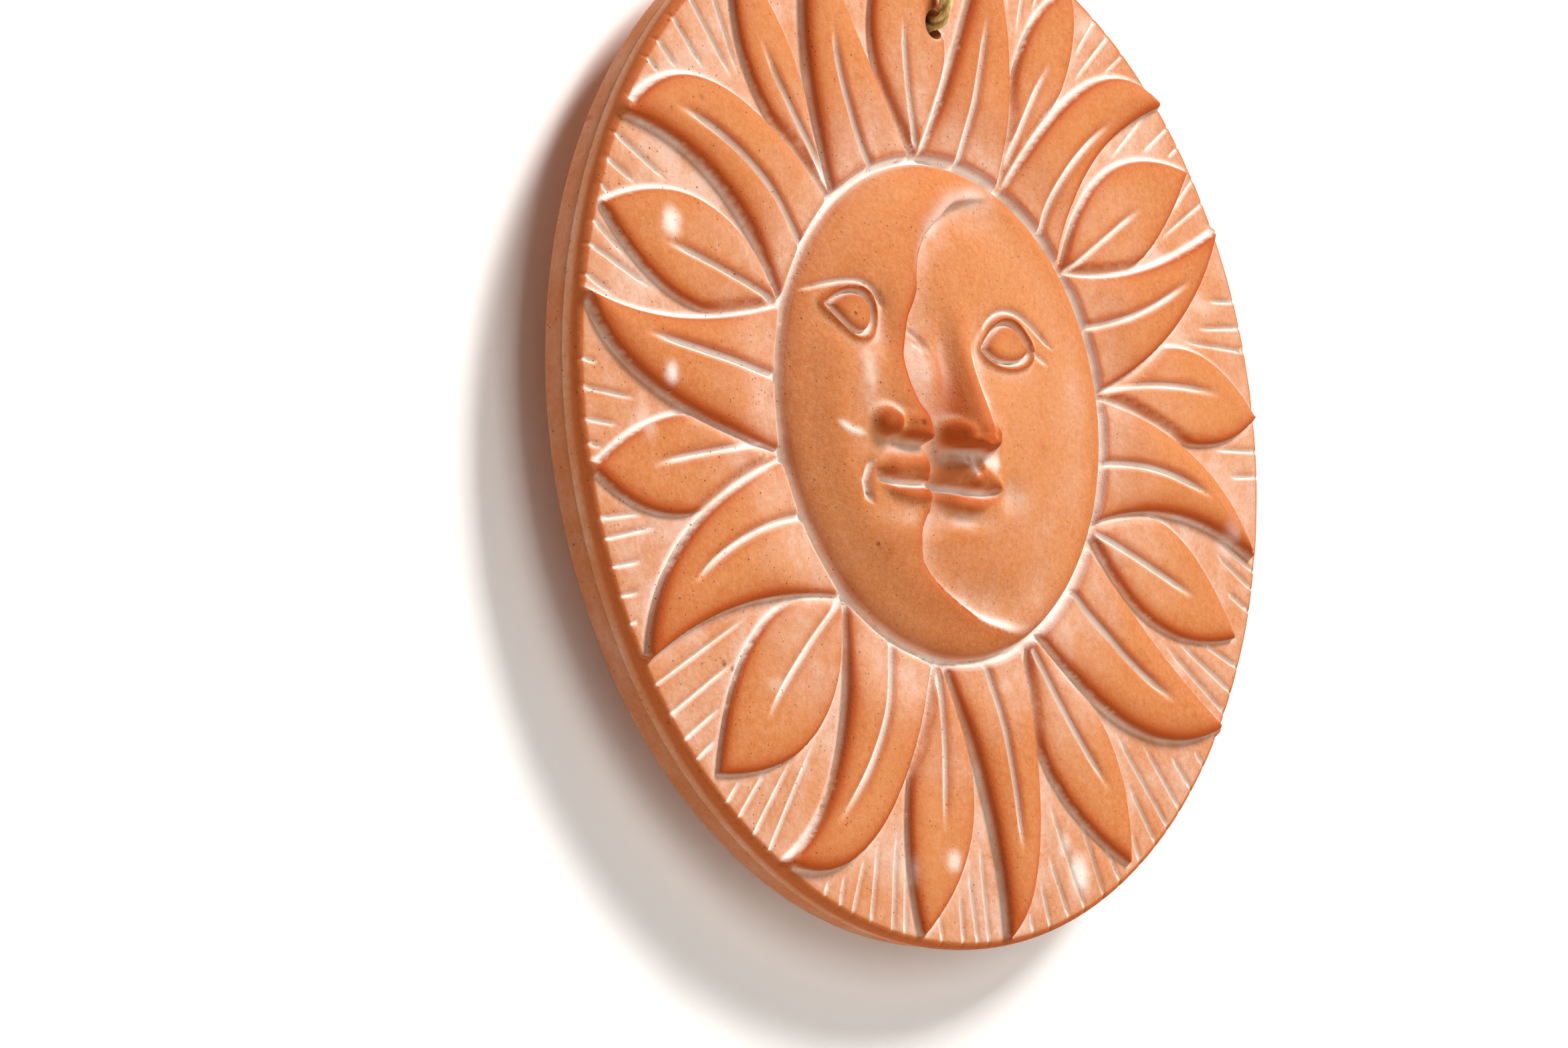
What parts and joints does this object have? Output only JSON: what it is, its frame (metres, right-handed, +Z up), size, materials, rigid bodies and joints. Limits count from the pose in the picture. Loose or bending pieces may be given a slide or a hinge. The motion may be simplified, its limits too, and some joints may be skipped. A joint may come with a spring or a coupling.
{
  "type": "ceramic wall decoration",
  "caption": "Round terracotta wall plaque with a carved sun face and crescent moon profile ringed by rays and leaves, hung by a jute twine loop.",
  "frame": {"origin": "centre of the plaque's flat back face, which lies against the wall", "axes": "+Y into the wall, so the carved front faces -Y; +Z up; +X to the right seen from the front"},
  "size_m": [0.2322, 0.0248, 0.3028],
  "materials": {
    "terracotta": "unglazed fired clay, matt, with a thin pale lime wash left in the recesses",
    "jute": "loosely twisted hairy natural fibre"
  },
  "bodies": {
    "root": {"sun_moon_plaque": "terracotta", "hanging_twine": "jute", "twine_knot": "jute", "twine_tail_left": "jute", "twine_tail_right": "jute"}
  },
  "joints": []
}
